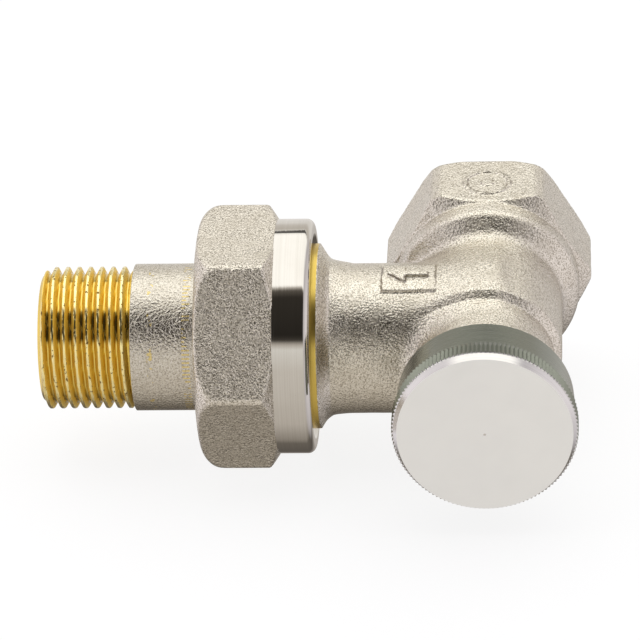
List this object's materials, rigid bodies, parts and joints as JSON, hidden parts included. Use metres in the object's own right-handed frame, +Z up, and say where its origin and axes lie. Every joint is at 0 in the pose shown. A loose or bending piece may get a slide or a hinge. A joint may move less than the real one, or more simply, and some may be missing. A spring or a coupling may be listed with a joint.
{
  "type": "lockshield radiator valve",
  "caption": "Angle-pattern lockshield radiator valve: female pipe inlet, knurled cap over a hex shut-off spindle, union nut and male threaded tailpiece.",
  "frame": {"origin": "centre of the pipe inlet's end face, on the valve axis", "axes": "+Y out of the pipe inlet along the valve axis, -Y out of the cap, -X along the tailpiece, +Z up as the valve lies"},
  "size_m": [0.0643, 0.0436, 0.0276],
  "materials": {
    "forged_nickel": "shot-blasted forging with matt nickel plating, bare brass at the cut threads",
    "turned_nickel": "turned and satin, nickel-plated brass",
    "bare_brass": "turned bare brass",
    "seal_rubber": "black moulded EPDM",
    "gasket_fibre": "grey-green pressed fibre"
  },
  "bodies": {
    "valve": {"valve_body": "forged_nickel", "bonnet_insert": "bare_brass", "insert_o_ring": "seal_rubber"},
    "cap_carrier": {"cap_gasket": "gasket_fibre"},
    "cap": {"cap": "turned_nickel"},
    "spindle_carrier": {"spindle_o_ring_inner": "seal_rubber", "spindle_o_ring_outer": "seal_rubber", "seat_seal": "seal_rubber"},
    "spindle": {"shutoff_spindle": "bare_brass", "seal_screw": "bare_brass"},
    "union_carrier": {"union_o_ring": "seal_rubber"},
    "union_nut": {"union_nut": "forged_nickel"},
    "tailpiece": {"tailpiece": "forged_nickel"}
  },
  "joints": [
    {"name": "cap_lift", "type": "slide", "parent": "valve", "child": "cap_carrier", "axis": [0, -1, 0], "range_m": [0, 0.004]},
    {"name": "cap_turn", "type": "hinge", "parent": "cap_carrier", "child": "cap", "pos_m": [0, -0.04, 0], "axis": [0, -1, 0], "range_deg": [0, 1440]},
    {"name": "spindle_lift", "type": "slide", "parent": "valve", "child": "spindle_carrier", "axis": [0, -1, 0], "range_m": [0, 0.0035]},
    {"name": "spindle_turn", "type": "hinge", "parent": "spindle_carrier", "child": "spindle", "pos_m": [0, -0.027, 0], "axis": [0, -1, 0], "range_deg": [0, 1260]},
    {"name": "union_travel", "type": "slide", "parent": "valve", "child": "union_carrier", "axis": [-1, 0, 0], "range_m": [0, 0.00544]},
    {"name": "union_nut_turn", "type": "hinge", "parent": "union_carrier", "child": "union_nut", "pos_m": [-0.027, -0.022, 0], "axis": [-1, 0, 0], "range_deg": [0, 1080]},
    {"name": "tailpiece_swivel", "type": "hinge", "parent": "union_carrier", "child": "tailpiece", "pos_m": [-0.04, -0.022, 0], "axis": [-1, 0, 0], "continuous": true}
  ],
  "couplings": [
    {"joint": "cap_turn", "follows": "cap_lift", "rad_per_m": 6283.1},
    {"joint": "spindle_turn", "follows": "spindle_lift", "rad_per_m": 6283.1},
    {"joint": "union_nut_turn", "follows": "union_travel", "rad_per_m": 3463.7}
  ]
}
